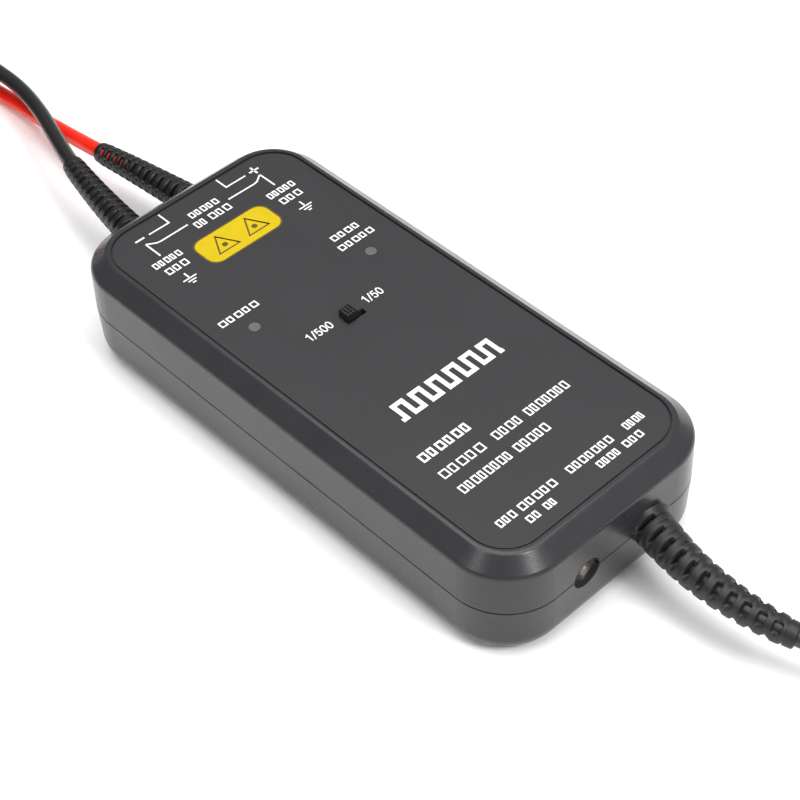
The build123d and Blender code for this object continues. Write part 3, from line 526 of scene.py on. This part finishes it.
def make_bend_reliefs(lines):
    """The bend relief on each cable where it leaves the case."""
    for pole in ("positive", "negative"):
        relief = BendRelief(
            reach=33.7, windows=15, first=1.95, last=31.35, root_radius=3.45, tip_radius=2.2,
            cable_radius=LEAD_DIAMETER / 2, collar_radius=3.9,
        )
        piece = bend_relief(f"{pole}_bend_relief", relief, lines[pole], materials["soft_black"], 38)
        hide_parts(f"{pole}_boot")
    relief = BendRelief(
        reach=33.8, windows=11, first=1.5, last=30.3, root_radius=3.8, tip_radius=2.3,
        cable_radius=COAX_DIAMETER / 2, collar_radius=4.4,
    )
    piece = bend_relief("output_bend_relief", relief, lines["output"], materials["soft_grey"], 40)
    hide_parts("output_boot")


cables, cable_lines = make_cables()
make_bend_reliefs(cable_lines)


# ---------------------------------------------------------------- print on the panel

PANEL_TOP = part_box("front_panel")[1][2] / MM
INK = 0.03
SHARPEST_MITRE = 0.4
BOX_SHARES_OF_PITCH = (0.8, 0.66)


class Print:
    """Flat printed shapes gathered into one piece, at a level above the film.

    Print reads along +Y with its top towards -X. Everything is in millimetres.
    """

    def __init__(self, level=0.0):
        self.points, self.faces, self.level = [], [], level

    def shape(self, outline):
        """A filled outline of (x, y) points, as a thin closed prism."""
        area = sum(a[0] * b[1] - b[0] * a[1] for a, b in zip(outline, outline[1:] + outline[:1]))
        if area < 0:
            outline = outline[::-1]
        base, count = len(self.points), len(outline)
        bottom = PANEL_TOP + self.level
        self.points += [(x, y, bottom) for x, y in outline] + [(x, y, bottom + INK) for x, y in outline]
        self.faces.append(tuple(base + count + number for number in range(count)))
        self.faces.append(tuple(base + number for number in reversed(range(count))))
        for number in range(count):
            after = (number + 1) % count
            self.faces.append((base + number, base + after, base + count + after, base + count + number))

    def stroke(self, path, width):
        """A line of the given width along (x, y) points, with mitred corners."""
        left, right = [], []
        for number, (x, y) in enumerate(path):
            ways = []
            for a, b in ((number - 1, number), (number, number + 1)):
                if 0 <= a and b < len(path):
                    ways.append(Vector((path[b][0] - path[a][0], path[b][1] - path[a][1])).normalized())
            mean = (ways[0] + ways[-1]).normalized()
            normal = Vector((-mean.y, mean.x))
            mitre = normal.dot(Vector((-ways[0].y, ways[0].x)))
            reach = width / 2 / max(mitre, SHARPEST_MITRE)
            left.append((x + normal.x * reach, y + normal.y * reach))
            right.append((x - normal.x * reach, y - normal.y * reach))
        for number in range(len(path) - 1):
            self.shape([left[number], left[number + 1], right[number + 1], right[number]])

    def rounded(self, x0, x1, y0, y1, corner):
        """A filled rectangle with round corners."""
        outline = []
        for centre_x, centre_y, start in (
            (x1 - corner, y1 - corner, 0),
            (x0 + corner, y1 - corner, 90),
            (x0 + corner, y0 + corner, 180),
            (x1 - corner, y0 + corner, 270),
        ):
            for part in range(7):
                angle = math.radians(start + 15 * part)
                outline.append((centre_x + corner * math.cos(angle), centre_y + corner * math.sin(angle)))
        self.shape(outline)

    def words(self, x0, x1, starts_and_ends, letters, width=0.3):
        """Stand-in words in a line from x0 to x1: for each start and end, as many open boxes as letters."""
        for (y0, y1), count in zip(starts_and_ends, letters):
            pitch = (y1 - y0) / count
            for number in range(count):
                left = y0 + pitch * number + width / 2
                right = y0 + pitch * (number + BOX_SHARES_OF_PITCH[number % 2]) - width / 2
                self.open_box(x0 + width / 2, x1 - width / 2, left, right, width)

    def open_box(self, x0, x1, y0, y1, width):
        """The outline of a rectangle, drawn as one closed stroke."""
        middle = (y0 + y1) / 2
        self.stroke([(x0, middle), (x0, y1), (x1, y1), (x1, y0), (x0, y0), (x0, middle)], width)

    def digit(self, character, x, y, height, width):
        """A numeral or slash drawn with plain strokes; x is its foot and y its left side."""

        def at(across, up):
            return (x - up * height, y + across * height * 0.6)

        if character == "1":
            self.stroke([at(0.2, 0.78), at(0.62, 0.98), at(0.62, 0.0)], width)
        elif character == "/":
            self.stroke([at(0.0, -0.04), at(0.62, 1.04)], width)
        elif character == "0":
            turns = [math.radians(15 * part) for part in range(25)]
            ring = [at(0.5 + 0.4 * math.cos(turn), 0.5 + 0.46 * math.sin(turn)) for turn in turns]
            self.stroke(ring, width)
        elif character == "5":
            turns = [math.radians(140 - 20 * part) for part in range(16)]
            bowl = [at(0.46 + 0.4 * math.cos(turn), 0.32 + 0.3 * math.sin(turn)) for turn in turns]
            self.stroke([at(0.86, 0.93), at(0.26, 0.93)] + bowl, width)

    def number(self, text, x, y, height, width):
        """Digits and slashes in a row; a slash is narrower than a digit."""
        for character in text:
            self.digit(character, x, y, height, width)
            y += height * (0.46 if character == "/" else 0.68)

    def piece(self, name, material, slot):
        """The shapes so far as one object."""
        return mesh_piece(name, self.points, self.faces, material, smooth=False)


LINE = 0.34
SIGN_LINE = 0.42
EARTH_BARS = ((-36.0, 1.6), (-35.25, 0.95), (-34.55, 0.4))


def print_inputs(sheet):
    """The polarity signs, brackets, limit lines and earth signs at the input end."""
    sheet.stroke([(-54.7, -7.9), (-51.4, -7.9), (-51.4, -12.9)], LINE)
    sheet.stroke([(-51.4, -14.1), (-51.4, -16.3)], SIGN_LINE)
    sheet.stroke([(-45.0, -15.2), (-49.6, -15.2)], LINE)
    sheet.stroke([(-49.6, -15.2), (-48.9, -14.2), (-48.4, -13.3), (-48.25, -12.4), (-48.3, -5.7)], LINE)
    sheet.stroke([(-54.8, 7.0), (-51.6, 7.0), (-51.6, 12.0)], LINE)
    sheet.stroke([(-51.65, 13.1), (-51.65, 15.5)], SIGN_LINE)
    sheet.stroke([(-52.8, 14.3), (-50.5, 14.3)], SIGN_LINE)
    sheet.stroke([(-45.2, 14.3), (-49.8, 14.3)], LINE)
    sheet.stroke([(-49.8, 14.3), (-49.1, 13.3), (-48.5, 12.4), (-48.35, 11.6), (-48.4, 4.9)], LINE)
    for y in (-15.25, 14.3):
        sheet.stroke([(-37.8, y), (-36.0, y)], LINE)
        for x, half in EARTH_BARS:
            sheet.stroke([(x, y - half), (x, y + half)], LINE * 0.9)
    sheet.words(-50.7, -49.0, [(-3.9, 3.5)], [5])
    sheet.words(-47.8, -45.9, [(-4.9, -2.0), (-1.2, 4.3)], [2, 3])
    for shift in (0.0, 29.1):
        sheet.words(-44.0, -42.3, [(-18.3 + shift, -11.4 + shift)], [5])
        sheet.words(-41.1, -39.3, [(-17.5 + shift, -12.0 + shift)], [3])


def print_controls(sheet):
    """The numbers of the two ranges and the stand-ins for the words at the lights."""
    sheet.number("1/500", -6.5, -10.8, 1.95, 0.26)
    sheet.number("1/50", -6.7, 3.5, 1.95, 0.26)
    sheet.words(-22.5, -20.9, [(-19.8, -10.3)], [5])
    sheet.words(-25.5, -23.9, [(11.1, 18.3)], [4])
    sheet.words(-22.4, -20.8, [(10.3, 19.3)], [5])


def print_output(sheet):
    """A plain pulse train, and stand-ins for the lines of words at the output end."""
    low, high, left, period, count = 19.9, 16.1, -12.6, 4.3, 6
    pulses = []
    for number in range(count):
        start = left + number * period
        rise, fall = start + period * 0.25, start + period * 0.75
        pulses += [(low, start), (low, rise), (high, rise), (high, fall), (low, fall)]
    pulses.append((low, left + (count - 0.1) * period))
    sheet.stroke(pulses, 0.95)
    sheet.words(27.7, 29.8, [(-16.9, -4.7)], [6], 0.42)
    sheet.words(33.0, 35.0, [(-17.0, -6.3), (-4.1, 2.8), (4.0, 14.8)], [5, 4, 7])
    sheet.words(37.7, 39.7, [(-17.0, -4.6), (-3.5, 4.9)], [8, 5])
    sheet.words(47.7, 49.4, [(-18.1, -13.7), (-12.8, -3.7)], [3, 5])
    sheet.words(50.6, 52.2, [(-13.8, -10.7), (-9.6, -6.9)], [2, 2])
    sheet.words(47.7, 49.4, [(-0.9, 10.5), (13.6, 18.6)], [7, 4])
    sheet.words(50.6, 52.2, [(3.7, 9.2), (10.4, 15.3)], [4, 3])


def print_badge():
    """A plain yellow badge with a dark border and two outlined triangles."""
    border, field, marks = Print(), Print(0.01), Print(0.02)
    border.rounded(-43.3, -34.9, -9.9, 8.8, 2.6)
    field.rounded(-42.95, -35.25, -9.5, 8.4, 2.3)
    for middle in (-4.3, 3.25):
        outline = [(-41.7, middle), (-37.05, middle + 2.5), (-37.05, middle - 2.5)]
        marks.stroke(outline + [outline[0], outline[1]], 0.34)
        marks.rounded(-39.2, -38.0, middle - 0.6, middle + 0.6, 0.55)
    border.piece("badge_border", materials["olive_ink"], "panel_film")
    field.piece("badge_field", materials["yellow_ink"], "panel_film")
    marks.piece("badge_marks", materials["olive_ink"], "panel_film")


def make_print():
    """The white print in one piece, and the badge."""
    sheet = Print()
    print_inputs(sheet)
    print_controls(sheet)
    print_output(sheet)
    sheet.piece("panel_print", materials["white_ink"], "panel_film")
    print_badge()


make_print()


# ---------------------------------------------------------------- floor, light and camera


FLOOR_HALF = 6.0
FLOOR_DROP = 0.0002
FLOOR_GLOW = 0.06
ROOM_AT_LEFT = 0.04
ROOM_BEHIND = 0.34
HORIZON_GLOW = 0.34
HORIZON_TOP = 0.5
UP = (0.0, 0.0, 1.0)
TOWARDS_BACK = (0.35, 0.94, 0.0)
TOWARDS_CAMERA = (0.5, -0.87, 0.0)


def make_floor():
    """A plain pale floor just below the box."""
    mesh = bpy.data.meshes.new("floor")
    corners = [(x * FLOOR_HALF, y * FLOOR_HALF, 0) for x, y in ((-1, -1), (1, -1), (1, 1), (-1, 1))]
    mesh.from_pydata(corners, [], [(0, 1, 2, 3)])
    floor = link_object("floor", mesh)
    floor.location.z = -FLOOR_DROP
    pale = Surface("pale_floor", (0.92, 0.92, 0.92, 1), 0.9, Specular_IOR_Level=0.1)
    pale.shader.inputs["Emission Color"].default_value = (1, 1, 1, 1)
    pale.shader.inputs["Emission Strength"].default_value = FLOOR_GLOW
    mesh.materials.append(pale.material)


def make_surroundings():
    """A pale room, brighter behind the box than at its left, with a low glow on the camera's side."""
    world = bpy.data.worlds.new("studio")
    bpy.context.scene.world = world
    world.use_nodes = True
    tree = world.node_tree
    ray = tree.nodes.new("ShaderNodeTexCoord").outputs["Generated"]

    def along(direction):
        """How much the ray points in the direction."""
        product = tree.nodes.new("ShaderNodeVectorMath")
        product.operation = "DOT_PRODUCT"
        product.inputs[1].default_value = direction
        tree.links.new(ray, product.inputs[0])
        return product.outputs["Value"]

    def fade(source, start, end, low, high):
        """A smooth change from low to high while the source goes from start to end."""
        remap = tree.nodes.new("ShaderNodeMapRange")
        remap.interpolation_type = "SMOOTHSTEP"
        remap.inputs["From Min"].default_value = start
        remap.inputs["From Max"].default_value = end
        remap.inputs["To Min"].default_value = low
        remap.inputs["To Max"].default_value = high
        tree.links.new(source, remap.inputs["Value"])
        return remap.outputs["Result"]

    def combine(operation, first, second):
        """The sum or product of two values."""
        sum_or_product = tree.nodes.new("ShaderNodeMath")
        sum_or_product.operation = operation
        tree.links.new(first, sum_or_product.inputs[0])
        tree.links.new(second, sum_or_product.inputs[1])
        return sum_or_product.outputs["Value"]

    room = fade(along(TOWARDS_BACK), -0.9, 0.6, ROOM_AT_LEFT, ROOM_BEHIND)
    glow = fade(along(UP), HORIZON_TOP, 0.0, 0.0, HORIZON_GLOW)
    camera_side = fade(along(TOWARDS_CAMERA), -0.5, 0.8, 0.0, 1.0)
    strength = combine("ADD", room, combine("MULTIPLY", glow, camera_side))
    background = tree.nodes["Background"]
    background.inputs["Color"].default_value = (1, 1, 1, 1)
    tree.links.new(strength, background.inputs["Strength"])


def area_light(name, place, size, power):
    """A round soft light aimed at the middle of the box's underside."""
    light = bpy.data.lights.new(name, "AREA")
    light.shape = "DISK"
    light.size = size
    light.energy = power
    lamp = link_object(name, light)
    lamp.location = place
    lamp.rotation_euler = (-Vector(place)).to_track_quat("-Z", "Y").to_euler()


CAMERA_ANGLES = (47.891, 46.013, -2.291)
CAMERA_TARGET = (7.361, -1.773, 12.0)
CAMERA_DISTANCE = 362.92
CAMERA_LENS = 87.49
CAMERA_SENSOR = 36


def make_camera():
    """A camera looking down on the box's front right corner, from its azimuth, elevation and roll."""
    azimuth, elevation, roll = (math.radians(angle) for angle in CAMERA_ANGLES)
    level = math.cos(elevation)
    back = Vector((math.sin(azimuth) * level, -math.cos(azimuth) * level, math.sin(elevation)))
    right = Vector((math.cos(azimuth), math.sin(azimuth), 0))
    up = back.cross(right)
    turned_right = right * math.cos(roll) + up * math.sin(roll)
    turned_up = up * math.cos(roll) - right * math.sin(roll)
    camera_data = bpy.data.cameras.new("camera")
    camera_data.lens = CAMERA_LENS
    camera_data.sensor_width = CAMERA_SENSOR
    camera_data.clip_start = 0.01
    camera = link_object("camera", camera_data)
    axes = Matrix((turned_right, turned_up, back)).transposed().to_4x4()
    axes.translation = (Vector(CAMERA_TARGET) + back * CAMERA_DISTANCE) * MM
    camera.matrix_world = axes
    bpy.context.scene.camera = camera


make_floor()
make_surroundings()
area_light("overhead", (-0.1, 0.0, 1.2), size=1.4, power=17)
area_light("right_window", (0.84, 0.086, 0.987), size=0.4, power=9)
area_light("left_window", (-0.104, -0.867, 0.963), size=0.36, power=2.4)
make_camera()
bpy.context.scene.view_settings.view_transform = "Standard"
